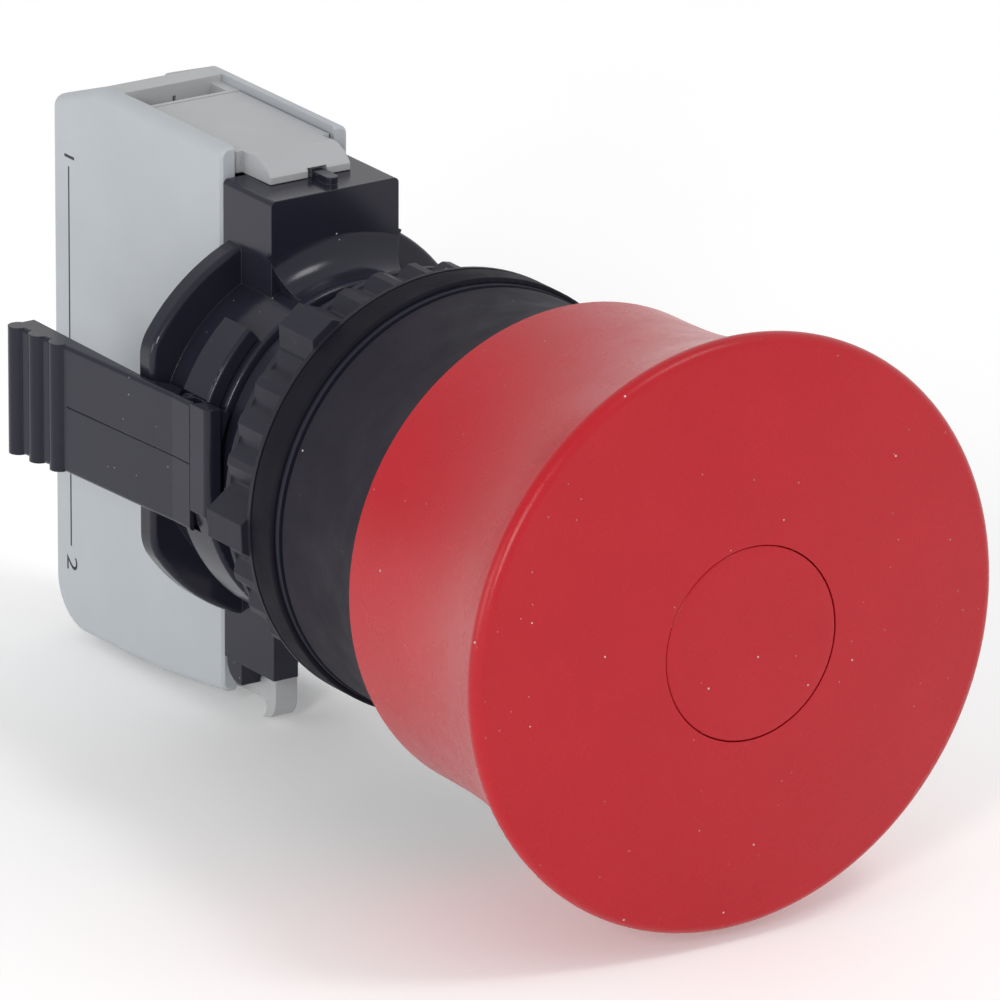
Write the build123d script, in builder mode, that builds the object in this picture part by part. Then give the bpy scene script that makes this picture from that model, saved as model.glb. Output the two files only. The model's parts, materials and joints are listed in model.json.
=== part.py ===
from build123d import *
from math import cos, radians, sin
import os

# Emergency stop button: a 40 mm mushroom head for a 22 mm panel hole, with a
# clip-on adapter and one normally closed contact block behind the panel.
# Millimetres.  The origin lies on the button axis at the panel's front face,
# +X to the right, +Y into the panel, +Z up.

# Head
rim_radius = 20.0
rim_y = -33.4
rim_edge_depth = 0.27
face_radius = 19.27
crown_y = -36.03
skirt_radius = 16.7
skirt_length = 19.0
skirt_flare = 2.61
skirt_bore = 16.0
skirt_end_depth = 18.8
ceiling_y = -32.6
disc_radius = 6.5
recess_radius = 6.56
recess_y = -34.7
web_y = -33.5
screw_hole_radius = 1.6
boss_radius = 5.6
boss_end_y = -24.0
boss_bore = 3.2
crown_sphere = 113.0
sharp = 0.06

# Stem
stem_radius = 3.0
stem_tip_radius = 2.0
stem_end_y = 18.2
stem_cone_radius = 3.8
travel = 5.0
latch_y = -7.0
clip_y = 7.05
clip_thickness = 0.7

# Panel body
panel_hole_radius = 11.0
bezel_radius = 14.5
bezel_rear_y = -3.2
bezel_front_y = -16.4
gasket_radius = 14.92
gasket_thickness = 2.5
body_front_y = -11.5
floor_y = -4.95
chamber_y = -9.05
cover_front_y = -10.45
body_rear_y = 12.0
seal_y = -1.0
seal_depth = 1.8
guide_end_y = 6.3
guide_radius = 3.06
cone_bore = 4.1
bezel_bore = 13.3
bezel_lip_bore = 12.2
bezel_lip_radius = 15.75
barrel_bore = 9.0

# Latch slides in the panel body
slide_tip_x = 3.06
slide_nose = 2.0
slide_end_x = 7.2
slide_width = 4.0
slide_height = 4.9

# Fixing nut
nut_y = 0.4
nut_band = 4.1
nut_depth = 4.6
nut_root_radius = 13.6
nut_crest_radius = 14.15
nut_lobe_radius = 15.4
nut_flange_radius = 13.73
nut_teeth = 32
nut_bore = 11.06
tooth_turn = 9.2
lobe_turns = (3.0, 126.0, 183.0, 306.0)

# Adapter
hub_bore = 10.3
hub_radius = 11.5
hub_front_y = 9.8
plate_y = 16.6
plate_thickness = 1.5
plate_radius = 13.9
plate_flat_x = 12.0
tower_y = 12.9
tower_rear_y = 18.8
tower_top_z = 17.0
leg_y = 12.7
half_width = 5.0
leg_inner_x = 3.1
leg_end_z = -16.5
lug_rear_y = 18.5
lug_front_y = 16.7
lug_end_z = -18.0
cove_start_y = 10.2
cove_outer_radius = 14.3
cove_half_angle = 21.5

# Locking ring, open at the top round the adapter's tower
ring_bore = 11.6
ring_radius = 12.65
ring_y = 9.1
ring_rear_y = 12.6
upper_ring_y = 10.4
upper_ring_rear_y = 13.4
ring_round = 0.3

# Locking lever and its hinge on the ring
pad_x = -12.65
pad_y = 8.8
pad_bottom_z = -2.4
lever_y = 10.98
lever_bottom_z = -3.9
lever_top_z = 5.05
lever_bend_y = 25.2
lever_bend_x = -13.35
lever_end_y = 31.1
lever_end_x = -14.0
lever_skin = 0.35
pivot_x = -11.75
pivot_y = 12.3
knuckle_radius = 0.55
pin_radius = 0.25
pocket_x = -11.15
pocket_y = 10.91
ear_height = 1.0
rib_radius = 0.7
rib_pitch = 2.2
seam_z = 0.76
seam = 0.08

# Contact block
block_front_y = 19.1
block_rear_y = 40.5
wall = 1.1
wall_top_z = 19.0
wall_bottom_z = -20.6
shoulder_y = 34.8
shoulder_z = 17.0
core_half = half_width - wall
core_front_y = 19.4
cavity_front_y = 20.9
cavity_rear_y = 39.0
seat_y = 24.8
web_z = 8.9
web_rear_z = 9.7
ceiling_z = 15.6
terminal_z = 13.2
entry_half = 3.0
entry_y = 31.0
entry_rear_y = 32.95
clamp_y = 33.9
clip_pivot_y = 27.5
clip_pivot_z = 17.75
clip_top_z = 18.5
clip_nose_y = 15.9
clip_nose_half = 3.13
clip_rear_y = 30.45
hook_y = 15.4
spring_seat_y = 29.4
clip_bottom_z = 17.0
clip_plate_front_y = 19.4

# Contacts and terminals
contact_z = 6.5
bridge_y = 26.9
bridge_thickness = 0.6
window_rear_y = 31.0
screw_head_height = 2.0
rail_thickness = 0.8
rail_end_y = 31.1
clamp_thickness = 1.1
screw_head_radius = 3.0
screw_radius = 1.5


def section(y):
    """The plane across the button axis at depth y, with X and Z as its axes."""
    return Plane.XZ.offset(-y)


def across(angle):
    """The plane through the axis at an angle from +X towards +Z, with Y and radius as its axes."""
    return Plane(origin=(0, 0, 0), x_dir=(0, 1, 0), z_dir=(sin(radians(angle)), 0, -cos(radians(angle))))


def add_tooth(root, crest, middle, crest_half, root_half):
    """Add one tooth with sloping flanks to the sketch being built; angles in degrees."""
    corners = [
        (root - 1, middle - root_half),
        (root, middle - root_half),
        (crest, middle - crest_half),
        (crest, middle + crest_half),
        (root, middle + root_half),
        (root - 1, middle + root_half),
    ]
    with BuildLine() as outline:
        Polyline(*[(r * cos(radians(a)), r * sin(radians(a))) for r, a in corners], close=True)
    make_face(outline.edges())


def flare(depth):
    """Outer radius of the head's skirt at a depth behind the rim plane."""
    return skirt_radius + (rim_radius - skirt_radius) * (1 - depth / skirt_length) ** skirt_flare


def crown(radius):
    """Y of the domed face at a distance from the axis."""
    return crown_y + crown_sphere - (crown_sphere**2 - radius**2) ** 0.5


def save(piece, name):
    piece.part.label = name
    export_step(piece.part, f"parts/{name}.step")


def coil(start, direction, length, turns, radius, wire):
    """A round-wire compression spring, closed in one solid."""
    with BuildPart() as spring:
        with BuildLine() as wire_line:
            Helix(length / turns, length, radius, center=start, direction=direction)
        with BuildSketch(Plane(wire_line.line @ 0, z_dir=wire_line.line % 0)):
            Circle(wire)
        sweep(path=wire_line.line)
    return spring


os.makedirs("parts", exist_ok=True)

# ---------------------------------------------------------------- head

face_edge = (face_radius, crown(face_radius))
rim_edge = (flare(rim_edge_depth), rim_y + rim_edge_depth)
skirt_end = (flare(skirt_end_depth), rim_y + skirt_end_depth)
with BuildPart() as mushroom_cap:
    with BuildSketch(Plane.XY):
        with BuildLine():
            Polyline(
                (screw_hole_radius, ceiling_y),
                (screw_hole_radius, web_y),
                (3.0, web_y),
                (3.0, recess_y),
                (recess_radius, recess_y),
                (recess_radius, crown(recess_radius)),
            )
            ThreePointArc((recess_radius, crown(recess_radius)), (13.0, crown(13.0)), face_edge)
            ThreePointArc(face_edge, (rim_radius - 0.1, rim_y - 0.55), rim_edge)
            Spline([rim_edge] + [(flare(d), rim_y + d) for d in range(2, 18, 2)] + [skirt_end])
            Polyline(
                skirt_end,
                (skirt_radius - 0.2, rim_y + skirt_length),
                (skirt_bore + 0.15, rim_y + skirt_length),
                (skirt_bore, rim_y + skirt_length - 0.15),
                (skirt_bore, -22.0),
            )
            ThreePointArc((skirt_bore, -22.0), (16.7, -27.0), (17.8, -31.4))
            Polyline(
                (17.8, -31.4),
                (17.0, ceiling_y),
                (boss_radius, ceiling_y),
                (boss_radius, boss_end_y),
                (boss_bore, boss_end_y),
                (boss_bore, ceiling_y),
                (screw_hole_radius, ceiling_y),
            )
        make_face()
    revolve(axis=Axis.Y)
save(mushroom_cap, "mushroom_cap")

disc_edge = (disc_radius - sharp, crown(disc_radius - sharp))
with BuildPart() as cap_disc:
    with BuildSketch(Plane.XY):
        with BuildLine():
            Polyline(
                (0, crown_y),
                (0, recess_y),
                (disc_radius, recess_y),
                (disc_radius, crown(disc_radius) + sharp),
                disc_edge,
            )
            ThreePointArc(disc_edge, (3.0, crown(3.0)), (0, crown_y))
        make_face()
    revolve(axis=Axis.Y)
save(cap_disc, "cap_disc")

with BuildPart() as cap_screw:
    with BuildSketch(section(web_y)):
        Circle(2.8)
    extrude(amount=-(recess_y - web_y + 0.15))
    with BuildSketch(section(web_y)):
        Circle(1.5)
    extrude(amount=-6.5)
    with BuildSketch(section(recess_y + 0.15)):
        Rectangle(3.6, 0.7)
        Rectangle(0.7, 3.6)
    extrude(amount=-0.6, mode=Mode.SUBTRACT)
save(cap_screw, "cap_screw")

with BuildPart() as plunger_stem:
    with BuildSketch(Plane.XY):
        with BuildLine():
            Polyline(
                (0, web_y + 7.0),
                (1.5, web_y + 7.0),
                (1.5, ceiling_y),
                (3.15, ceiling_y),
                (3.15, boss_end_y),
                (stem_radius, boss_end_y + 0.2),
                (stem_radius, latch_y - travel - 2.2),
                (stem_cone_radius, latch_y - travel - 1.2),
                (stem_cone_radius, latch_y - travel),
                (stem_radius, latch_y),
                (stem_radius, clip_y),
                (2.2, clip_y),
                (2.2, clip_y + clip_thickness),
                (stem_radius, clip_y + clip_thickness),
                (stem_radius, 13.0),
                (stem_tip_radius, 14.0),
                (stem_tip_radius, stem_end_y - 0.3),
                (stem_tip_radius - 0.3, stem_end_y),
                (0, stem_end_y),
                close=True,
            )
        make_face()
    revolve(axis=Axis.Y)
save(plunger_stem, "plunger_stem")

with BuildPart() as stem_clip:
    with BuildSketch(section(clip_y)):
        Circle(4.4)
        Circle(2.2, mode=Mode.SUBTRACT)
        with Locations((0, -3.4)):
            Rectangle(3.2, 3.4, mode=Mode.SUBTRACT)
    extrude(amount=-clip_thickness)
save(stem_clip, "stem_clip")

return_length = cover_front_y - boss_end_y - 0.8
return_spring = coil((0, boss_end_y + 0.4, 0), (0, 1, 0), return_length, 6, 4.9, 0.35)
save(return_spring, "return_spring")

# ---------------------------------------------------------------- panel body

with BuildPart() as bezel:
    with BuildSketch(Plane.XY):
        with BuildLine():
            Line((bezel_bore, bezel_rear_y), (bezel_radius, bezel_rear_y))
            Line((bezel_radius, bezel_rear_y), (bezel_radius, -5.2))
            TangentArc((bezel_radius, -5.2), (bezel_lip_radius, -13.4), tangent=(0, -1))
            Polyline(
                (bezel_lip_radius, -13.4),
                (bezel_lip_radius, bezel_front_y + 0.4),
                (bezel_lip_radius - 0.4, bezel_front_y),
                (bezel_lip_bore, bezel_front_y),
                (bezel_lip_bore, body_front_y - 0.6),
                (bezel_bore, body_front_y - 0.6),
                (bezel_bore, bezel_rear_y),
            )
        make_face()
    revolve(axis=Axis.Y)
save(bezel, "bezel")

with BuildPart() as barrel_body:
    with BuildSketch(Plane.XY):
        with BuildLine():
            Polyline(
                (13.2, body_front_y),
                (13.2, bezel_rear_y),
                (14.0, bezel_rear_y),
                (14.0, bezel_rear_y + 0.3),
                (14.6, bezel_rear_y + 0.3),
                (14.6, -gasket_thickness),
                (panel_hole_radius, -gasket_thickness),
                (panel_hole_radius, hub_front_y - 0.2),
                (10.2, hub_front_y),
                (10.2, body_rear_y - 0.4),
                (9.8, body_rear_y),
                (barrel_bore, body_rear_y),
                (barrel_bore, 2.5),
                (4.8, 2.5),
                (4.8, guide_end_y),
                (guide_radius, guide_end_y),
                (guide_radius, seal_y + seal_depth),
                (5.0, seal_y + seal_depth),
                (5.0, seal_y),
                (cone_bore, seal_y),
                (cone_bore, floor_y),
                (10.4, floor_y),
                (10.4, chamber_y),
                (11.2, chamber_y),
                (11.2, body_front_y),
                close=True,
            )
        make_face()
    revolve(axis=Axis.Y)
    with BuildSketch(section(chamber_y)):
        for side_x in (-1, 1):
            for side_z in (-1, 1):
                with Locations((side_x * 7.6, side_z * 3.6)):
                    Rectangle(5.2, 2.0)
    extrude(amount=-(floor_y - chamber_y))
save(barrel_body, "barrel_body")

with BuildPart() as latch_cover:
    with BuildSketch(section(cover_front_y)):
        Circle(11.15)
        Circle(4.05, mode=Mode.SUBTRACT)
    extrude(amount=-(chamber_y - cover_front_y))
save(latch_cover, "latch_cover")

with BuildPart() as stem_seal:
    with BuildSketch(section(seal_y)):
        Circle(5.0)
        Circle(guide_radius, mode=Mode.SUBTRACT)
    extrude(amount=-seal_depth)
    fillet(stem_seal.edges().filter_by(GeomType.CIRCLE).group_by(Axis.Y)[0], 0.3)
save(stem_seal, "stem_seal")

nose_x = slide_tip_x + slide_nose
for side, name in ((-1, "latch_slide_left"), (1, "latch_slide_right")):
    with BuildPart() as latch_slide:
        with BuildSketch(Plane.XY.offset(-slide_height / 2)):
            with Locations((side * (nose_x + slide_end_x) / 2, latch_y)):
                Rectangle(slide_end_x - nose_x, slide_width)
            with Locations((side * nose_x, latch_y)):
                Circle(slide_nose)
        extrude(amount=slide_height)
        with BuildSketch(Plane.YZ.offset(side * slide_end_x)):
            with Locations((latch_y, 0)):
                Circle(1.55)
        extrude(amount=-side * 1.4, mode=Mode.SUBTRACT)
    save(latch_slide, name)

for side, name in ((-1, "latch_spring_left"), (1, "latch_spring_right")):
    latch_spring = coil((side * 6.1, latch_y, 0), (side, 0, 0), 4.0, 5, 1.1, 0.2)
    save(latch_spring, name)

with BuildPart() as panel_gasket:
    with BuildSketch(section(-gasket_thickness)):
        Circle(gasket_radius)
        Circle(panel_hole_radius, mode=Mode.SUBTRACT)
    extrude(amount=-gasket_thickness)
    outer_edges = panel_gasket.edges().filter_by(GeomType.CIRCLE).sort_by(SortBy.RADIUS)[-2:]
    fillet(outer_edges, 0.25)
save(panel_gasket, "panel_gasket")

# ---------------------------------------------------------------- fixing nut

with BuildPart() as clamp_washer:
    with BuildSketch(section(0.05)):
        Circle(gasket_radius)
        Circle(panel_hole_radius + 0.25, mode=Mode.SUBTRACT)
    extrude(amount=-(nut_y - 0.05))
save(clamp_washer, "clamp_washer")

with BuildPart() as fixing_nut:
    with BuildSketch(section(nut_y)):
        Circle(nut_root_radius)
        for tooth in range(nut_teeth):
            add_tooth(nut_root_radius, nut_crest_radius, 360 / nut_teeth * tooth + tooth_turn, 1.2, 5.3)
        for turn in lobe_turns:
            add_tooth(nut_root_radius, nut_lobe_radius, turn, 3.6, 9.5)
        Circle(nut_bore, mode=Mode.SUBTRACT)
    extrude(amount=-nut_band)
    with BuildSketch(section(nut_y + nut_band - 0.1)):
        Circle(nut_flange_radius)
        Circle(nut_bore, mode=Mode.SUBTRACT)
    extrude(amount=-(nut_depth - nut_band + 0.1))
    rear_circles = fixing_nut.edges().filter_by(GeomType.CIRCLE).group_by(Axis.Y)[-1]
    fillet(rear_circles.sort_by(SortBy.RADIUS)[-1], 0.15)
save(fixing_nut, "fixing_nut")

# ---------------------------------------------------------------- adapter

with BuildPart() as adapter_body:
    with BuildSketch(section(hub_front_y)):
        Circle(hub_radius)
        Circle(hub_bore, mode=Mode.SUBTRACT)
    extrude(amount=-(plate_y - hub_front_y + 0.01))
    front_circles = adapter_body.edges().filter_by(GeomType.CIRCLE).group_by(Axis.Y)[0]
    fillet(front_circles.sort_by(SortBy.RADIUS)[-1], 0.3)
    # The flat behind the lever's hinge.
    with BuildSketch(Plane.XY.offset(lever_bottom_z - 0.1)):
        with Locations((pocket_x - 0.95, pivot_y + 0.6)):
            Rectangle(2.0, 4.2)
    extrude(amount=lever_top_z - lever_bottom_z + 0.2, mode=Mode.SUBTRACT)
    with BuildSketch(section(plate_y)) as adapter_plate:
        Circle(plate_radius)
        Rectangle(2 * plate_flat_x, 2 * plate_radius, mode=Mode.INTERSECT)
        fillet(adapter_plate.vertices(), 3.0)
        Circle(6.0, mode=Mode.SUBTRACT)
    extrude(amount=-plate_thickness)
    plate_rim = adapter_body.edges().filter_by(
        lambda edge: abs(edge.center().Y - plate_y) < 0.01 and edge.length > 4 and edge @ 0 != edge @ 1
    )
    fillet(plate_rim.filter_by(lambda edge: (edge @ 0).X ** 2 + (edge @ 0).Z ** 2 > 140), 0.4)
    with BuildSketch(section(tower_y)):
        with Locations((0, (10.0 + tower_top_z) / 2)):
            Rectangle(2 * half_width, tower_top_z - 10.0)
        Circle(hub_bore, mode=Mode.SUBTRACT)
    extrude(amount=-(tower_rear_y - tower_y))
    top_edges = adapter_body.edges().filter_by(Axis.Y).group_by(Axis.Z)[-1]
    fillet(top_edges, 0.35)
    # The pocket for the block's latch, and the key bump on the tower's top.
    with BuildSketch(Plane.XY.offset(tower_top_z)):
        with Locations((0, 17.05)):
            Rectangle(4.8, 1.9)
    extrude(amount=-2.2, mode=Mode.SUBTRACT)
    with BuildSketch(Plane.XY.offset(tower_top_z - 0.1)):
        with Locations((0.55, 15.0)):
            SlotCenterToCenter(1.5, 0.9, rotation=90)
    extrude(amount=0.6)
    # The hollow fillet between the tower's foot and the hub.
    with BuildSketch(across(90 + cove_half_angle)):
        with BuildLine():
            ThreePointArc((cove_start_y, hub_radius), (12.15, 12.25), (tower_y, cove_outer_radius))
            Polyline(
                (tower_y, cove_outer_radius),
                (tower_y + 0.3, cove_outer_radius),
                (tower_y + 0.3, hub_radius - 0.1),
                (cove_start_y, hub_radius - 0.1),
                (cove_start_y, hub_radius),
            )
        make_face()
    revolve(axis=Axis.Y, revolution_arc=2 * cove_half_angle)
    # The lower legs, the bar that joins them, and a rounded lug behind each.
    with BuildSketch(section(leg_y)):
        for side in (-1, 1):
            with Locations((side * (half_width + leg_inner_x) / 2, leg_end_z + 3.5)):
                Rectangle(half_width - leg_inner_x, 7.0)
        Circle(hub_bore, mode=Mode.SUBTRACT)
    extrude(amount=-(tower_rear_y - leg_y))
    with BuildSketch(section(plate_y)):
        with Locations((0, -14.0)):
            Rectangle(2 * half_width, 3.0)
    extrude(amount=-(tower_rear_y - plate_y))
    for side in (-1, 1):
        with BuildSketch(Plane.YZ.offset(side * half_width)) as lug_outline:
            with BuildLine():
                Polyline(
                    (lug_front_y, lug_end_z + 3.0),
                    (lug_front_y, lug_end_z),
                    (lug_rear_y, lug_end_z),
                    (lug_rear_y, lug_end_z + 3.0),
                    close=True,
                )
            make_face()
            fillet(lug_outline.vertices().sort_by_distance((lug_rear_y, lug_end_z))[0], 1.4)
        extrude(amount=-side * 1.5)
save(adapter_body, "adapter_body")

with BuildPart() as locking_ring:
    for start, arc, front, rear in (
        (409, 252, ring_y, ring_rear_y),
        (158, 27, upper_ring_y, upper_ring_rear_y),
    ):
        with BuildSketch(across(start)):
            with BuildLine():
                Polyline(
                    (front + ring_round, ring_radius),
                    (rear, ring_radius),
                    (rear, ring_bore),
                    (front, ring_bore),
                )
                Line((front, ring_bore), (front, ring_radius - ring_round))
                CenterArc((front + ring_round, ring_radius - ring_round), ring_round, 90, 90)
            make_face()
        revolve(axis=Axis.Y, revolution_arc=arc)
    # The pad before the lever, and the space in which the lever's root swings.
    with BuildSketch(Plane.XY.offset(pad_bottom_z)) as pad:
        with Locations(((pad_x - ring_bore) / 2, (pad_y + upper_ring_y + 0.5) / 2)):
            Rectangle(-ring_bore - pad_x, upper_ring_y + 0.5 - pad_y)
        fillet(pad.vertices().sort_by_distance((pad_x, pad_y))[0], 0.5)
    extrude(amount=lever_top_z - pad_bottom_z)
    with BuildSketch(Plane.XY.offset(lever_bottom_z - 0.07)):
        with BuildLine():
            Polyline(
                (pad_x - 1.0, pocket_y),
                (pad_x, pocket_y),
                (pad_x + 0.6, pocket_y - 0.3),
                (pocket_x, pocket_y - 0.3),
                (pocket_x, pocket_y + 4.0),
                (pad_x - 1.0, pocket_y + 4.0),
                close=True,
            )
        make_face()
    extrude(amount=lever_top_z - lever_bottom_z + 0.14, mode=Mode.SUBTRACT)
    # The two ears that hold the lever's pin.
    for ear_z in (lever_bottom_z, lever_top_z - ear_height):
        with BuildSketch(Plane.XY.offset(ear_z)):
            with Locations((pivot_x, pivot_y)):
                Circle(knuckle_radius - 0.05)
            with Locations((pocket_x - 0.275, pivot_y - 0.7)):
                Rectangle(0.45, 2.4)
            with Locations((pivot_x, pivot_y)):
                Circle(pin_radius, mode=Mode.SUBTRACT)
        extrude(amount=ear_height)
save(locking_ring, "locking_ring")

with BuildPart() as lever_pin:
    with BuildSketch(Plane.XY.offset(lever_bottom_z + 0.1)):
        with Locations((pivot_x, pivot_y)):
            Circle(pin_radius)
    extrude(amount=lever_top_z - lever_bottom_z - 0.2)
save(lever_pin, "lever_pin")

with BuildPart() as lock_lever:
    with BuildSketch(Plane.XY.offset(lever_bottom_z)):
        with BuildLine():
            Polyline(
                (pad_x, lever_y),
                (pad_x, pivot_y + 0.8),
                (lever_bend_x, lever_bend_y),
                (lever_end_x, lever_end_y),
                (lever_end_x + 1.8, lever_end_y),
                (-12.3, 18.6),
                (-12.3, 16.2),
                (-11.55, 14.9),
                (-11.55, pivot_y + 1.3),
                (pad_x + lever_skin, pivot_y + 0.6),
                (pad_x + lever_skin, lever_y),
                close=True,
            )
        make_face()
    extrude(amount=lever_top_z - lever_bottom_z)
    long_edges = lock_lever.edges().filter_by(
        lambda edge: edge.center().X < -12.9 and abs(edge.center().Z - 0.5) > 4 and edge.length > 5
    )
    fillet(long_edges, 0.3)
    # The knuckle between the ring's ears, and three grip ribs at the far end.
    with BuildSketch(Plane.XY.offset(lever_bottom_z + ear_height + 0.05)):
        with Locations((pivot_x, pivot_y)):
            Circle(knuckle_radius)
        with Locations(((pad_x + lever_skin + pivot_x) / 2, pivot_y)):
            Rectangle(pivot_x - pad_x - lever_skin + 0.02, 2 * knuckle_radius)
    extrude(amount=lever_top_z - lever_bottom_z - 2 * ear_height - 0.1)
    slope = (lever_end_x - lever_bend_x) / (lever_end_y - lever_bend_y)
    for row in range(3):
        rib_y = lever_end_y - 0.4 - rib_pitch * row
        rib_x = lever_end_x + slope * (rib_y - lever_end_y) + 0.25
        with Locations((rib_x, rib_y, (lever_bottom_z + lever_top_z) / 2)):
            Cylinder(rib_radius, lever_top_z - lever_bottom_z)
    with BuildSketch(Plane.XY.offset(lever_bottom_z)):
        with Locations((pivot_x, pivot_y)):
            Circle(pin_radius + 0.03)
    extrude(amount=lever_top_z - lever_bottom_z, mode=Mode.SUBTRACT)
    # The fine mould line along the outer face.
    with BuildSketch(Plane.XY.offset(seam_z)):
        with BuildLine():
            Polyline(
                (pad_x - 0.3, lever_y - 0.1),
                (pad_x + seam, lever_y - 0.1),
                (pad_x + seam, pivot_y + 0.8),
                (lever_bend_x + seam, lever_bend_y),
                (lever_bend_x - 0.3, lever_bend_y),
                close=True,
            )
        make_face()
    extrude(amount=seam, mode=Mode.SUBTRACT)
save(lock_lever, "lock_lever")

# ---------------------------------------------------------------- contact block

for side, name in ((-1, "block_cover_left"), (1, "block_cover_right")):
    with BuildPart() as block_cover:
        with BuildSketch(Plane.YZ.offset(side * core_half)) as cover_outline:
            with BuildLine():
                Polyline(
                    (block_rear_y, wall_bottom_z),
                    (block_rear_y, shoulder_z),
                    (shoulder_y, wall_top_z),
                    (block_front_y, wall_top_z),
                    (block_front_y, wall_bottom_z + 1.3),
                    (26.9, wall_bottom_z + 0.4),
                    close=True,
                )
            make_face()
            fillet(cover_outline.vertices().sort_by_distance((block_rear_y, shoulder_z))[0], 1.0)
            fillet(cover_outline.vertices().sort_by_distance((block_rear_y, wall_bottom_z))[0], 3.6)
        extrude(amount=side * wall)
        outer_face = block_cover.faces().filter_by(Plane.YZ).sort_by(Axis.X, reverse=side > 0)[0]
        fillet(outer_face.edges().filter_by(lambda edge: edge.center().Z > 16.0), 0.7)
        outer_face = block_cover.faces().filter_by(Plane.YZ).sort_by(Axis.X, reverse=side > 0)[0]
        chamfer(outer_face.edges().filter_by(lambda edge: edge.center().Z < 16.0), 0.2)
        with BuildSketch(Plane.YZ.offset(side * core_half)):
            with Locations((clip_pivot_y, clip_pivot_z)):
                Circle(0.58)
        extrude(amount=side * 0.8, mode=Mode.SUBTRACT)
    save(block_cover, name)

with BuildPart() as block_core:
    with BuildSketch(Plane.YZ.offset(-core_half)):
        with BuildLine():
            Polyline(
                (core_front_y, 16.2),
                (core_front_y, -18.4),
                (22.6, -18.4),
                (23.4, -19.7),
                (37.2, -20.3),
                (39.3, -18.9),
                (block_rear_y, -16.5),
                (block_rear_y, shoulder_z - 0.3),
                (shoulder_y, wall_top_z),
                (entry_rear_y, wall_top_z),
                (entry_rear_y, clip_top_z),
                (entry_y - 0.4, clip_top_z),
                (entry_y - 0.4, 16.2),
                close=True,
            )
        make_face()
    extrude(amount=2 * core_half)
    # The chambers: the middle one for the plunger, a wider one for the bridge,
    # and one behind each web for a terminal.
    with BuildSketch(Plane.YZ.offset(-core_half)):
        with Locations(((cavity_front_y + cavity_rear_y) / 2, 0)):
            Rectangle(cavity_rear_y - cavity_front_y, 9.6)
        with Locations(((seat_y + cavity_rear_y) / 2, 0)):
            Rectangle(cavity_rear_y - seat_y, 2 * web_z)
        for side in (-1, 1):
            with Locations((seat_y + 0.5, side * web_z)):
                Rectangle(1.0, 3.0)
            with Locations(((seat_y + cavity_rear_y) / 2, side * (web_rear_z + ceiling_z) / 2)):
                Rectangle(cavity_rear_y - seat_y, ceiling_z - web_rear_z)
            with Locations(((entry_rear_y + cavity_rear_y) / 2, side * (ceiling_z + 0.6))):
                Rectangle(cavity_rear_y - entry_rear_y, 1.8)
    extrude(amount=2 * core_half, mode=Mode.SUBTRACT)
    with BuildSketch(section(core_front_y)):
        Circle(stem_tip_radius + 0.2)
    extrude(amount=-(cavity_front_y - core_front_y), mode=Mode.SUBTRACT)
    with BuildSketch(section(cavity_rear_y)):
        with Locations((0, terminal_z), (0, -terminal_z)):
            Circle(screw_head_radius + 0.2)
    extrude(amount=-(block_rear_y - cavity_rear_y), mode=Mode.SUBTRACT)
    # Wire entries from above and below, with a fine slot in the rear wall.
    for side in (-1, 1):
        with BuildSketch(Plane.XY.offset(side * (ceiling_z - 0.5))):
            with Locations((0, (entry_y + entry_rear_y) / 2)):
                Rectangle(2 * entry_half, entry_rear_y - entry_y)
            with Locations((0.1, entry_rear_y)):
                Rectangle(0.25, 1.2)
        extrude(amount=side * 3.0, mode=Mode.SUBTRACT)
        with BuildSketch(Plane.XY.offset(side * (ceiling_z + 2.0))):
            with Locations((0, (entry_y + entry_rear_y) / 2)):
                Rectangle(2 * entry_half, entry_rear_y - entry_y)
        extrude(amount=side * 4.5, mode=Mode.SUBTRACT)
    # Clearance beside the front wall, between the core and the covers.
    with BuildSketch(Plane.XY.offset(-22)):
        for side in (-1, 1):
            with Locations((side * (core_half - 0.1), core_front_y + 0.6)):
                Rectangle(0.5, 1.6)
    extrude(amount=45, mode=Mode.SUBTRACT)
    # Seat of the clip's spring.
    with BuildSketch(Plane.XY.offset(16.2)):
        with Locations((0, spring_seat_y)):
            Circle(1.3)
    extrude(amount=-0.4, mode=Mode.SUBTRACT)
    # The hook that holds the block under the adapter's lower tower.
    with BuildSketch(Plane.YZ.offset(-clip_nose_half)):
        with BuildLine():
            ThreePointArc((hook_y, -19.0), (15.6, -19.9), (16.1, -20.45))
            Line((16.1, -20.45), (17.2, -20.7))
            ThreePointArc((17.2, -20.7), (16.55, -19.9), (16.9, -19.2))
            Polyline(
                (16.9, -19.2),
                (23.6, -19.65),
                (22.6, -18.4),
                (core_front_y - 0.3, -18.4),
                (17.2, -17.9),
                (17.2, -16.8),
                (hook_y, -16.8),
                (hook_y, -19.0),
            )
        make_face()
    extrude(amount=1.7)
save(block_core, "block_core")

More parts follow.
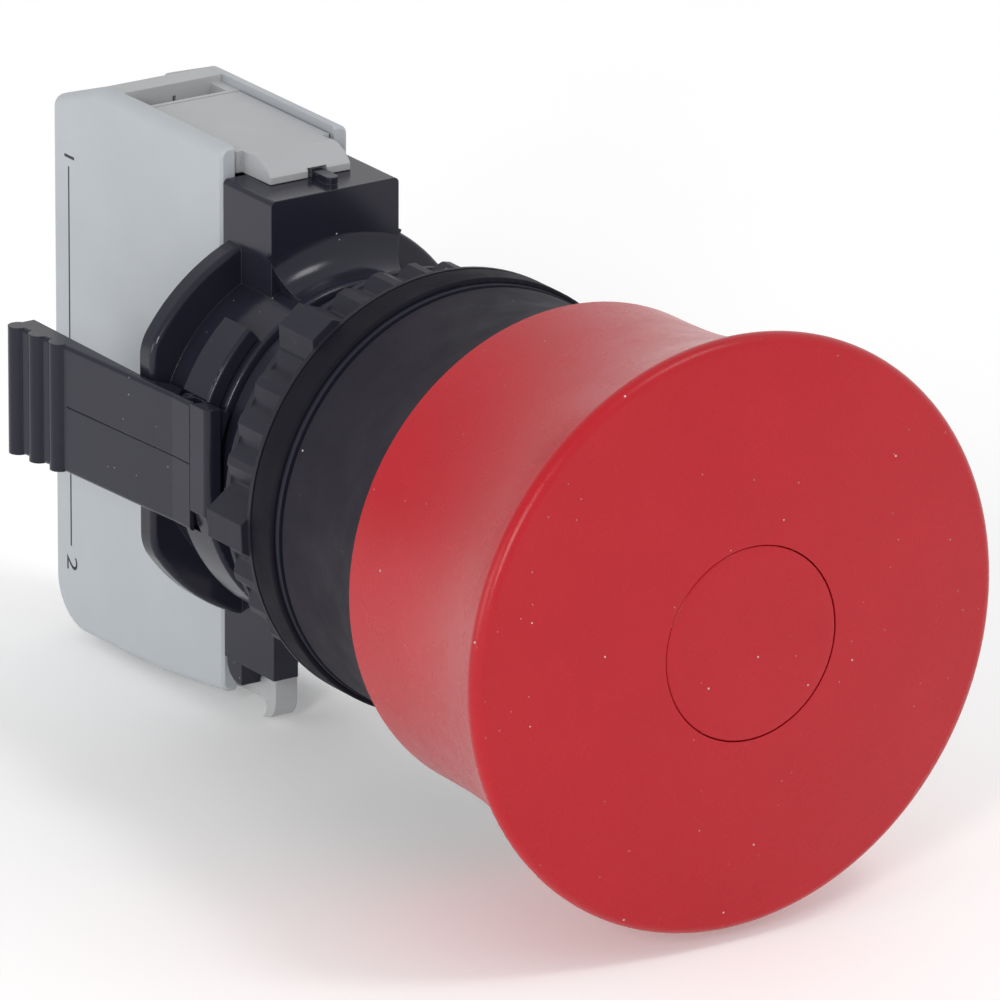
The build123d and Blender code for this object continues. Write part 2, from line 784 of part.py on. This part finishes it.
with BuildPart() as block_latch:
    with BuildSketch(Plane.YZ.offset(-core_half + 0.2)):
        with BuildLine():
            Polyline(
                (clip_rear_y, clip_bottom_z),
                (clip_rear_y, clip_top_z),
                (clip_plate_front_y, clip_top_z),
                (clip_plate_front_y, clip_bottom_z),
                close=True,
            )
        make_face()
    extrude(amount=2 * core_half - 0.4)
    with BuildSketch(Plane.YZ.offset(-clip_nose_half)):
        with BuildLine():
            ThreePointArc((18.6, clip_top_z), (16.6, 18.15), (clip_nose_y, 17.5))
            Polyline(
                (clip_nose_y, 17.5),
                (clip_nose_y, clip_bottom_z + 0.04),
                (clip_plate_front_y, clip_bottom_z),
                (clip_plate_front_y, clip_top_z),
                (18.6, clip_top_z),
            )
        make_face()
    extrude(amount=2 * clip_nose_half)
    # Tooth that drops into the tower's pocket, and the notch over the key bump.
    with BuildSketch(Plane.XY.offset(17.1)):
        with Locations((0, 17.1)):
            Rectangle(4.2, 1.2)
    extrude(amount=-1.7)
    with BuildSketch(Plane.XY.offset(16.9)):
        with Locations((0.55, 16.2)):
            Rectangle(1.5, 1.0)
    extrude(amount=0.75, mode=Mode.SUBTRACT)
    with BuildSketch(Plane.XY.offset(16.9)):
        with Locations((0, spring_seat_y)):
            Circle(1.3)
    extrude(amount=0.9, mode=Mode.SUBTRACT)
    for side in (-1, 1):
        with BuildSketch(Plane.YZ.offset(side * (core_half - 0.3))):
            with Locations((clip_pivot_y, clip_pivot_z)):
                Circle(0.5)
        extrude(amount=side * 1.0)
save(block_latch, "block_latch")

block_latch_spring = coil((0, spring_seat_y, 15.95), (0, 0, 1), 1.65, 3, 0.9, 0.13)
save(block_latch_spring, "block_latch_spring")

# ---------------------------------------------------------------- moving contact

with BuildPart() as contact_plunger:
    with BuildSketch(section(stem_end_y + 0.1)):
        Circle(stem_tip_radius)
    extrude(amount=-3.4)
    with BuildSketch(section(21.3)):
        Rectangle(5.2, 6.0)
    extrude(amount=-10.9)
    with BuildSketch(section(32.1)):
        Circle(1.0)
    extrude(amount=-1.6)
    # The window in which the bridge and its spring sit.
    with BuildSketch(Plane.XY.offset(-4)):
        with Locations((0, (bridge_y - 0.05 + window_rear_y) / 2)):
            Rectangle(4.0, window_rear_y - bridge_y + 0.05)
    extrude(amount=8, mode=Mode.SUBTRACT)
save(contact_plunger, "contact_plunger")

with BuildPart() as contact_bridge:
    with BuildSketch(section(bridge_y)):
        Rectangle(3.6, 16.0)
    extrude(amount=-bridge_thickness)
    fillet(contact_bridge.edges().filter_by(Axis.Y), 0.8)
save(contact_bridge, "contact_bridge")

with BuildPart() as bridge_contact_tips:
    with BuildSketch(section(bridge_y - 0.5)):
        with Locations((0, contact_z), (0, -contact_z)):
            Circle(1.2)
    extrude(amount=-0.5)
save(bridge_contact_tips, "bridge_contact_tips")

bridge_spring = coil((0, bridge_y + bridge_thickness + 0.2, 0), (0, 1, 0), 3.1, 4, 1.3, 0.18)
save(bridge_spring, "bridge_spring")

plunger_spring = coil((0, 32.5, 0), (0, 1, 0), 6.2, 5, 1.7, 0.2)
save(plunger_spring, "plunger_spring")

# ---------------------------------------------------------------- terminals

for side, name in ((1, "fixed_contact_upper"), (-1, "fixed_contact_lower")):
    with BuildPart() as fixed_contact:
        with BuildSketch(Plane.YZ.offset(-2.0)):
            with Locations((seat_y + rail_thickness / 2, side * 8.0)):
                Rectangle(rail_thickness, 6.0)
            with Locations(((seat_y + rail_end_y) / 2, side * 10.6)):
                Rectangle(rail_end_y - seat_y, rail_thickness)
        extrude(amount=4.0)
        with BuildSketch(section(rail_end_y - rail_thickness)):
            with Locations((0, side * 12.85)):
                Rectangle(6.8, 5.3)
            with Locations((0, side * terminal_z)):
                Circle(screw_radius + 0.05, mode=Mode.SUBTRACT)
        extrude(amount=-rail_thickness)
    save(fixed_contact, name)

with BuildPart() as fixed_contact_tips:
    with BuildSketch(section(seat_y + rail_thickness)):
        with Locations((0, contact_z), (0, -contact_z)):
            Circle(1.2)
    extrude(amount=-0.75)
save(fixed_contact_tips, "fixed_contact_tips")

for side, name in ((1, "clamp_plate_upper"), (-1, "clamp_plate_lower")):
    with BuildPart() as clamp_plate:
        with BuildSketch(section(clamp_y)):
            with Locations((0, side * 13.0)):
                Rectangle(6.8, 5.0)
            with Locations((0, side * terminal_z)):
                Circle(screw_radius + 0.05, mode=Mode.SUBTRACT)
        extrude(amount=-clamp_thickness)
    save(clamp_plate, name)

for side, name in ((1, "terminal_screw_upper"), (-1, "terminal_screw_lower")):
    with BuildPart() as terminal_screw:
        with BuildSketch(section(clamp_y + clamp_thickness)):
            with Locations((0, side * terminal_z)):
                Circle(screw_head_radius)
        extrude(amount=-screw_head_height)
        with BuildSketch(section(clamp_y + clamp_thickness)):
            with Locations((0, side * terminal_z)):
                Circle(screw_radius)
        extrude(amount=7.4)
        with BuildSketch(section(clamp_y + clamp_thickness + screw_head_height)):
            with Locations((0, side * terminal_z)):
                Rectangle(3.8, 0.8)
                Rectangle(0.8, 3.8)
        extrude(amount=1.1, mode=Mode.SUBTRACT)
    save(terminal_screw, name)
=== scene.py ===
import json
import math

import bmesh
import bpy
from mathutils import Matrix, Vector


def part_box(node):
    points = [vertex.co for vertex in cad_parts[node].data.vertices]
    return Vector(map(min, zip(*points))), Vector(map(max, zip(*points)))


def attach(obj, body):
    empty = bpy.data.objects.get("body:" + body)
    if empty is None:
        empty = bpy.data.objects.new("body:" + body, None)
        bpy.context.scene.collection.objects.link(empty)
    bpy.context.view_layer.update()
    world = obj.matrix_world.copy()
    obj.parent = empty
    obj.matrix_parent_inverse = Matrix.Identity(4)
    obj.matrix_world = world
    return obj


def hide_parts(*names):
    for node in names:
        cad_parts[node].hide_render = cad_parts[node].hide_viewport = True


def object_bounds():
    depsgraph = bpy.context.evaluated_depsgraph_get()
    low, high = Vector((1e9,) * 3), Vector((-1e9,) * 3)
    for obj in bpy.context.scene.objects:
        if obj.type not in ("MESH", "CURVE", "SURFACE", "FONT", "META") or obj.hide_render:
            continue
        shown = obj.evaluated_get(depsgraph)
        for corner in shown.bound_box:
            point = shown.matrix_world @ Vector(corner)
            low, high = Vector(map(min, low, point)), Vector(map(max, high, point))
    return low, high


# The looks of an emergency stop button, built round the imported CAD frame.
# Metres, +Y into the panel, +Z up, origin on the button axis at the panel.

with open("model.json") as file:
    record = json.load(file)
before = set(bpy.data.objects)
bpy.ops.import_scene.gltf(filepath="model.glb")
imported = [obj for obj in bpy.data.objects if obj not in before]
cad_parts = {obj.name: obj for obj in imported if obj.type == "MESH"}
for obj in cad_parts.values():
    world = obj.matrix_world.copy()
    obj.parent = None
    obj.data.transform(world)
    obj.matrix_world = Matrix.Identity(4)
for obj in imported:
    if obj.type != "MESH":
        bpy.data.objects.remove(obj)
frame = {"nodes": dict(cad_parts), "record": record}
CAD_LOW, CAD_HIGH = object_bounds()
NODES = frame["nodes"]
MM = 0.001

# ---------------------------------------------------------------- camera

CAMERA_AZIMUTH = math.radians(-33.56)
CAMERA_ELEVATION = math.radians(19.36)
CAMERA_ROLL = math.radians(0.21)
CAMERA_PLACE = Vector((-0.46834, -0.71287, 0.29883))
CAMERA_LENS = 495.8
SENSOR = 36.0


def add_camera():
    """The viewing camera, turned by azimuth, elevation and a slight roll."""
    back = Vector((
        math.sin(CAMERA_AZIMUTH) * math.cos(CAMERA_ELEVATION),
        -math.cos(CAMERA_AZIMUTH) * math.cos(CAMERA_ELEVATION),
        math.sin(CAMERA_ELEVATION),
    ))
    right = Vector((math.cos(CAMERA_AZIMUTH), math.sin(CAMERA_AZIMUTH), 0))
    up = back.cross(right)
    turned_right = right * math.cos(CAMERA_ROLL) + up * math.sin(CAMERA_ROLL)
    turned_up = back.cross(turned_right)
    data = bpy.data.cameras.new("camera")
    data.lens = CAMERA_LENS
    data.sensor_width = SENSOR
    data.clip_end = 20
    camera = bpy.data.objects.new("camera", data)
    axes = Matrix((turned_right, turned_up, back)).transposed()
    camera.matrix_world = Matrix.Translation(CAMERA_PLACE) @ axes.to_4x4()
    bpy.context.scene.collection.objects.link(camera)
    bpy.context.scene.camera = camera


add_camera()

# ---------------------------------------------------------------- materials


# Scales of the uneven surfaces, in features to the metre.
MOTTLE = 140
GLOSS_CHANGE = 320
SINK = 90
STAIN = 260
PAPER = 30

# Colours of the dust: the large specks and the small ones.
PALE_DUST = (0.55, 0.5, 0.48)
DIM_DUST = (0.45, 0.36, 0.35)


def node_material(name):
    """An empty node material with its shader, its links and its coordinates."""
    material = bpy.data.materials.new(name)
    material.use_nodes = True
    tree = material.node_tree
    shader = tree.nodes["Principled BSDF"]
    coordinates = tree.nodes.new("ShaderNodeTexCoord")
    return material, tree, shader, coordinates.outputs["Object"]


def noise(tree, coordinates, scale, detail=3.0, roughness=0.55):
    """A noise texture's value, with features 1/scale metres across."""
    texture = tree.nodes.new("ShaderNodeTexNoise")
    texture.inputs["Scale"].default_value = scale
    texture.inputs["Detail"].default_value = detail
    texture.inputs["Roughness"].default_value = roughness
    tree.links.new(coordinates, texture.inputs["Vector"])
    return texture.outputs["Fac"]


def spread(tree, value, low, high, start=0.3, end=0.7):
    """Maps a texture value from start..end to low..high."""
    ranged = tree.nodes.new("ShaderNodeMapRange")
    ranged.inputs["From Min"].default_value = start
    ranged.inputs["From Max"].default_value = end
    ranged.inputs["To Min"].default_value = low
    ranged.inputs["To Max"].default_value = high
    tree.links.new(value, ranged.inputs["Value"])
    return ranged.outputs["Result"]


def mixed(tree, factor, first, second):
    """A colour between first and second; either may be a socket or a colour."""
    mix = tree.nodes.new("ShaderNodeMix")
    mix.data_type = "RGBA"
    for socket, value in ((mix.inputs[6], first), (mix.inputs[7], second)):
        if isinstance(value, tuple):
            socket.default_value = (*value, 1.0)
        else:
            tree.links.new(value, socket)
    tree.links.new(factor, mix.inputs["Factor"])
    return mix.outputs[2]


def specks(tree, coordinates, cell, size, share):
    """1 on a few small dust specks, 0 elsewhere."""
    cells = tree.nodes.new("ShaderNodeTexVoronoi")
    cells.inputs["Scale"].default_value = 1 / cell
    tree.links.new(coordinates, cells.inputs["Vector"])
    near = tree.nodes.new("ShaderNodeMath")
    near.operation = "LESS_THAN"
    near.inputs[1].default_value = size / cell
    tree.links.new(cells.outputs["Distance"], near.inputs[0])
    split = tree.nodes.new("ShaderNodeSeparateColor")
    tree.links.new(cells.outputs["Color"], split.inputs["Color"])
    chosen = tree.nodes.new("ShaderNodeMath")
    chosen.operation = "LESS_THAN"
    chosen.inputs[1].default_value = share
    tree.links.new(split.outputs["Red"], chosen.inputs[0])
    both = tree.nodes.new("ShaderNodeMath")
    both.operation = "MULTIPLY"
    tree.links.new(near.outputs[0], both.inputs[0])
    tree.links.new(chosen.outputs[0], both.inputs[1])
    return both.outputs[0]


def rounded(tree, radius):
    """A normal that turns softly over edges, as on a moulded or tumbled piece."""
    bevel = tree.nodes.new("ShaderNodeBevel")
    bevel.samples = 6
    bevel.inputs["Radius"].default_value = radius
    return bevel.outputs["Normal"]


def edge_wear(tree, radius):
    """0 on flats, rising to 1 along edges."""
    geometry = tree.nodes.new("ShaderNodeNewGeometry")
    turn = tree.nodes.new("ShaderNodeVectorMath")
    turn.operation = "DOT_PRODUCT"
    tree.links.new(rounded(tree, radius), turn.inputs[0])
    tree.links.new(geometry.outputs["Normal"], turn.inputs[1])
    return spread(tree, turn.outputs["Value"], low=1.0, high=0.0, start=0.86, end=0.995)


def bumped(tree, shader, height, strength, distance):
    """Adds a height on top of the shader's present normal."""
    bump = tree.nodes.new("ShaderNodeBump")
    bump.inputs["Strength"].default_value = strength
    bump.inputs["Distance"].default_value = distance
    tree.links.new(height, bump.inputs["Height"])
    already = shader.inputs["Normal"].links
    if already:
        tree.links.new(already[0].from_socket, bump.inputs["Normal"])
    tree.links.new(bump.outputs["Normal"], shader.inputs["Normal"])


def moulded_plastic(name, colour, shade, rough, grain, specular=0.5, dust=0.0, worn=None, edge=0.1):
    """Moulded plastic: mottled colour, fine grain, uneven gloss, soft worn edges and dust.

    grain is the size and the depth of the surface grain, and edge the rounding of the
    edges, all in millimetres. dust is the share of the places for a speck that hold one.
    """
    material, tree, shader, place = node_material(name)
    mottle = spread(tree, noise(tree, place, MOTTLE, detail=4), low=0, high=1)
    base = mixed(tree, mottle, shade, colour)
    if edge:
        tree.links.new(rounded(tree, edge * MM), shader.inputs["Normal"])
    if worn:
        base = mixed(tree, edge_wear(tree, 0.6 * edge * MM), base, worn)
    if dust:
        large = specks(tree, place, cell=2.2 * MM, size=0.07 * MM, share=dust)
        base = mixed(tree, large, base, PALE_DUST)
        small = specks(tree, place, cell=1.1 * MM, size=0.04 * MM, share=dust)
        base = mixed(tree, small, base, DIM_DUST)
    tree.links.new(base, shader.inputs["Base Color"])
    gloss = noise(tree, place, GLOSS_CHANGE, detail=5)
    gloss = spread(tree, gloss, low=rough * 0.86, high=rough * 1.14)
    tree.links.new(gloss, shader.inputs["Roughness"])
    grain_size, grain_depth = grain
    skin = noise(tree, place, 1 / (grain_size * MM), detail=6, roughness=0.7)
    bumped(tree, shader, skin, strength=0.5, distance=grain_depth * MM)
    bumped(tree, shader, noise(tree, place, SINK, detail=2), strength=0.25, distance=0.03 * MM)
    shader.inputs["Specular IOR Level"].default_value = specular
    return material


def metal(name, colour, shade, rough, scratch=900):
    """Plated or bare metal: brushed streaks, stains and bright edges."""
    material, tree, shader, place = node_material(name)
    stretch = tree.nodes.new("ShaderNodeMapping")
    stretch.inputs["Scale"].default_value = (1, 0.12, 1)
    tree.links.new(place, stretch.inputs["Vector"])
    streaks = noise(tree, stretch.outputs["Vector"], scratch, detail=6, roughness=0.7)
    stains = noise(tree, place, STAIN, detail=4)
    stains = spread(tree, stains, low=0, high=1, start=0.35, end=0.65)
    base = mixed(tree, stains, shade, colour)
    bright = tuple(min(1, channel * 1.3) for channel in colour)
    base = mixed(tree, edge_wear(tree, 0.05 * MM), base, bright)
    tree.links.new(base, shader.inputs["Base Color"])
    gloss = spread(tree, streaks, low=rough * 0.7, high=rough * 1.3)
    tree.links.new(gloss, shader.inputs["Roughness"])
    bumped(tree, shader, streaks, strength=0.35, distance=0.01 * MM)
    shader.inputs["Metallic"].default_value = 1.0
    return material


BLACK = (0.018, 0.0182, 0.03)
DEEP_BLACK = (0.0145, 0.0147, 0.025)
BLACK_EDGE = (0.036, 0.036, 0.047)
RED = (0.435, 0.0075, 0.0155)
DEEP_RED = (0.41, 0.0062, 0.0132)
FINISHES = {
    "cap_red": moulded_plastic(
        "cap_red", RED, DEEP_RED,
        rough=0.27, grain=(0.16, 0.03), specular=0.32, dust=0.8, edge=0,
    ),
    "disc_red": moulded_plastic(
        "disc_red", RED, DEEP_RED,
        rough=0.27, grain=(0.16, 0.03), specular=0.32, dust=0.8, edge=0,
    ),
    "bezel_grey": moulded_plastic(
        "bezel_grey", (0.017, 0.0148, 0.0225), (0.014, 0.0122, 0.019),
        rough=0.7, grain=(0.22, 0.03), specular=0.2, dust=0.2,
    ),
    "body_black": moulded_plastic(
        "body_black", BLACK, DEEP_BLACK,
        rough=0.45, grain=(0.25, 0.015), specular=0.25, dust=0.1,
    ),
    "seal_rubber": moulded_plastic(
        "seal_rubber", (0.009, 0.0085, 0.0135), (0.0065, 0.006, 0.0105),
        rough=0.6, grain=(0.3, 0.02), specular=0.08, dust=0.3,
    ),
    "washer_grey": moulded_plastic(
        "washer_grey", (0.022, 0.022, 0.03), (0.017, 0.017, 0.024),
        rough=0.5, grain=(0.25, 0.01), specular=0.15, edge=0,
    ),
    "nut_black": moulded_plastic(
        "nut_black", (0.024, 0.0235, 0.034), (0.019, 0.0185, 0.028),
        rough=0.42, grain=(0.35, 0.01), specular=0.14, dust=0.3,
        worn=(0.032, 0.032, 0.042), edge=0.15,
    ),
    "adapter_black": moulded_plastic(
        "adapter_black", BLACK, DEEP_BLACK,
        rough=0.17, grain=(0.4, 0.006), specular=0.28, dust=0.6, worn=BLACK_EDGE,
    ),
    "ring_black": moulded_plastic(
        "ring_black", BLACK, DEEP_BLACK,
        rough=0.2, grain=(0.4, 0.006), specular=0.26, dust=0.5, worn=BLACK_EDGE,
    ),
    "block_grey": moulded_plastic(
        "block_grey", (0.43, 0.44, 0.45), (0.40, 0.41, 0.42),
        rough=0.5, grain=(0.28, 0.015), specular=0.45, dust=0.08, worn=(0.5, 0.48, 0.44),
    ),
    "cover_grey": moulded_plastic(
        "cover_grey", (0.43, 0.455, 0.48), (0.405, 0.43, 0.455),
        rough=0.5, grain=(0.28, 0.015), specular=0.45, dust=0.08, worn=(0.52, 0.50, 0.46),
    ),
    "latch_grey": moulded_plastic(
        "latch_grey", (0.41, 0.415, 0.43), (0.385, 0.39, 0.405),
        rough=0.42, grain=(0.28, 0.012), specular=0.5, dust=0.1, worn=(0.5, 0.49, 0.46),
    ),
    "ink_black": moulded_plastic(
        "ink_black", (0.012, 0.012, 0.016), (0.008, 0.008, 0.011),
        rough=0.5, grain=(0.2, 0.004), edge=0,
    ),
    "stem_plastic": moulded_plastic(
        "stem_plastic", (0.58, 0.54, 0.45), (0.52, 0.48, 0.40),
        rough=0.42, grain=(0.33, 0.012),
    ),
    "plunger_plastic": moulded_plastic(
        "plunger_plastic", (0.42, 0.02, 0.02), (0.36, 0.016, 0.016),
        rough=0.4, grain=(0.33, 0.012),
    ),
    "screw_steel": metal("screw_steel", (0.70, 0.68, 0.62), (0.58, 0.55, 0.47), rough=0.3),
    "spring_steel": metal(
        "spring_steel", (0.62, 0.62, 0.61), (0.5, 0.5, 0.49), rough=0.25, scratch=2400
    ),
    "clamp_steel": metal("clamp_steel", (0.66, 0.64, 0.58), (0.55, 0.53, 0.47), rough=0.35),
    "contact_brass": metal("contact_brass", (0.73, 0.55, 0.27), (0.6, 0.43, 0.2), rough=0.28),
    "tip_silver": metal("tip_silver", (0.86, 0.85, 0.83), (0.72, 0.7, 0.66), rough=0.22),
}
for part in frame["record"]["subparts"]:
    node = NODES[part["node"]]
    node.data.materials.clear()
    node.data.materials.append(FINISHES[part["material_slot"]])

# ---------------------------------------------------------------- the head's disc

DOME_RADIUS = 113 * MM
DISC_EDGE = 0.13 * MM
DISC_STEPS = 64
DISC_RINGS = 10
EDGE_STEPS = 4


def bmesh_object(name, build, smooth=False):
    """A new mesh object whose shape build(shape) fills in; smooth sets its shading."""
    mesh = bpy.data.meshes.new(name)
    shape = bmesh.new()
    build(shape)
    bmesh.ops.recalc_face_normals(shape, faces=shape.faces)
    shape.to_mesh(mesh)
    shape.free()
    if smooth:
        mesh.shade_smooth()
    else:
        mesh.shade_flat()
    thing = bpy.data.objects.new(name, mesh)
    bpy.context.scene.collection.objects.link(thing)
    return thing


def dome_y(radius, front):
    """Y of the head's shallow dome at a radius; front is the Y of its middle."""
    return front + DOME_RADIUS - math.sqrt(DOME_RADIUS ** 2 - radius ** 2)


def add_disc():
    """The disc set in the head's face: a shallow dome with a fine turned edge."""
    low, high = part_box("cap_disc")
    outer = high[0]
    profile = [(outer, high[1]), (outer, dome_y(outer, low[1]) + DISC_EDGE)]
    for share in range(EDGE_STEPS + 1):
        turn = math.radians(90 * share / EDGE_STEPS)
        radius = outer - DISC_EDGE * (1 - math.cos(turn))
        profile.append((radius, dome_y(radius, low[1]) + DISC_EDGE * (1 - math.sin(turn))))
    for ring in range(1, DISC_RINGS):
        radius = (outer - DISC_EDGE) * (1 - ring / DISC_RINGS)
        profile.append((radius, dome_y(radius, low[1])))

    def build(shape):
        rows = []
        for radius, y in profile:
            rows.append([
                shape.verts.new((
                    radius * math.cos(2 * math.pi * step / DISC_STEPS),
                    y,
                    radius * math.sin(2 * math.pi * step / DISC_STEPS),
                ))
                for step in range(DISC_STEPS)
            ])
        for row, following in zip(rows, rows[1:]):
            for step in range(DISC_STEPS):
                after = (step + 1) % DISC_STEPS
                shape.faces.new((row[step], row[after], following[after], following[step]))
        shape.faces.new(rows[0])
        middle = shape.verts.new((0, low[1], 0))
        for step in range(DISC_STEPS):
            shape.faces.new((rows[-1][step], rows[-1][(step + 1) % DISC_STEPS], middle))

    disc = bmesh_object("face_disc", build, smooth=True)
    disc.data.materials.append(FINISHES["disc_red"])
    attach(disc, "head")
    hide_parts("cap_disc")


add_disc()

# ---------------------------------------------------------------- printed marks

INK = 0.006 * MM

# A digit's height as a share of the font's size.
DIGIT_SHARE = 0.69


def add_printed_line(cover, y, top, bottom, width):
    """The thin line printed down the cover's outer face."""
    face_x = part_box(cover)[0][0]

    def build(shape):
        corners = []
        for x in (face_x, face_x - INK):
            for side, z in ((-1, top), (1, top), (1, bottom), (-1, bottom)):
                corners.append(shape.verts.new((x, y + side * width / 2, z)))
        shape.faces.new(corners[:4])
        shape.faces.new(corners[4:])
        for first in range(4):
            after = (first + 1) % 4
            shape.faces.new(
                (corners[first], corners[after], corners[after + 4], corners[first + 4])
            )

    mark = bmesh_object("printed_line", build)
    mark.data.materials.append(FINISHES["ink_black"])
    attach(mark, "frame")


def add_digit(cover, digit, y, z, height, stretch):
    """A terminal number printed on its side on the cover, so that it reads downwards.

    stretch makes it longer along its reading direction.
    """
    curve = bpy.data.curves.new("digit_" + digit, "FONT")
    curve.body = digit
    curve.size = height / DIGIT_SHARE
    curve.align_x = "CENTER"
    curve.align_y = "CENTER"
    curve.extrude = INK / 2
    writer = bpy.data.objects.new("digit_" + digit, curve)
    bpy.context.scene.collection.objects.link(writer)
    bpy.context.view_layer.update()
    mesh = bpy.data.meshes.new_from_object(writer)
    bpy.data.objects.remove(writer)
    face_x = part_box(cover)[0][0]
    turn = Matrix(((0, 0, -1), (0, -1, 0), (-stretch, 0, 0))).to_4x4()
    mesh.transform(Matrix.Translation((face_x - INK / 2, y, z)) @ turn)
    mark = bpy.data.objects.new("printed_" + digit, mesh)
    mesh.materials.clear()
    mesh.materials.append(FINISHES["ink_black"])
    bpy.context.scene.collection.objects.link(mark)
    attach(mark, "frame")


# The line runs just in front of the cover's rear edge, with a number past each end.
COVER = "block_cover_left"
LINE_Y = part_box(COVER)[1][1] - 2.25 * MM
LINE_TOP = 12.6 * MM
LINE_BOTTOM = -14.5 * MM
add_printed_line(COVER, LINE_Y, LINE_TOP, LINE_BOTTOM, width=0.16 * MM)
add_digit(COVER, "1", LINE_Y - 0.02 * MM, LINE_TOP + 0.7 * MM, height=1.25 * MM, stretch=1.2)
add_digit(COVER, "2", LINE_Y - 0.03 * MM, LINE_BOTTOM - 1.25 * MM, height=1.3 * MM, stretch=1.3)

# ---------------------------------------------------------------- floor and light

FLOOR_HALF = 6.0
FLOOR_GAP = 0.4 * MM
FLOOR_GLOW = 0.14
LEFT_STRENGTH = 0.52
RIGHT_STRENGTH = 0.92
CENTRE = (0, 0, 0)


def add_area(name, place, aim, size, power):
    """A white rectangular lamp at place, turned towards aim; power is in watts."""
    data = bpy.data.lights.new(name, "AREA")
    data.shape = "RECTANGLE"
    data.size, data.size_y = size
    data.energy = power
    lamp = bpy.data.objects.new(name, data)
    lamp.location = place
    lamp.rotation_euler = (Vector(aim) - Vector(place)).to_track_quat("-Z", "Y").to_euler()
    bpy.context.scene.collection.objects.link(lamp)


def add_floor():
    """A large pale floor just below the object, with a faint glow of its own."""
    depth = CAD_LOW[2] - FLOOR_GAP
    sides = ((-1, -1), (1, -1), (1, 1), (-1, 1))
    corners = [(x * FLOOR_HALF, y * FLOOR_HALF, depth) for x, y in sides]
    mesh = bpy.data.meshes.new("floor")
    mesh.from_pydata(corners, [], [(0, 1, 2, 3)])
    floor = bpy.data.objects.new("floor", mesh)
    material, tree, shader, place = node_material("floor_paper")
    paper = mixed(tree, noise(tree, place, PAPER), (0.93, 0.93, 0.93), (0.95, 0.95, 0.95))
    tree.links.new(paper, shader.inputs["Base Color"])
    shader.inputs["Roughness"].default_value = 0.9
    shader.inputs["Specular IOR Level"].default_value = 0.1
    shader.inputs["Emission Color"].default_value = (1, 1, 1, 1)
    shader.inputs["Emission Strength"].default_value = FLOOR_GLOW
    mesh.materials.append(material)
    bpy.context.scene.collection.objects.link(floor)


def add_world():
    """A white studio, a little dimmer on the left than on the right."""
    world = bpy.data.worlds.new("studio")
    world.use_nodes = True
    tree = world.node_tree
    background = tree.nodes["Background"]
    background.inputs["Color"].default_value = (1, 1, 1, 1)
    direction = tree.nodes.new("ShaderNodeTexCoord")
    split = tree.nodes.new("ShaderNodeSeparateXYZ")
    tree.links.new(direction.outputs["Generated"], split.inputs["Vector"])
    across = spread(
        tree, split.outputs["X"], LEFT_STRENGTH, RIGHT_STRENGTH, start=-0.7, end=0.7
    )
    tree.links.new(across, background.inputs["Strength"])
    bpy.context.scene.world = world


add_floor()
add_world()
add_area("key", (-0.68, -0.59, 0.36), CENTRE, size=(0.14, 0.24), power=2.6)
add_area("left", (-0.9, 0.12, 0.16), CENTRE, size=(0.5, 0.3), power=1.8)
add_area("top", (0.24, -0.43, 0.82), CENTRE, size=(0.2, 0.2), power=1.3)
bpy.context.scene.view_settings.view_transform = "Standard"
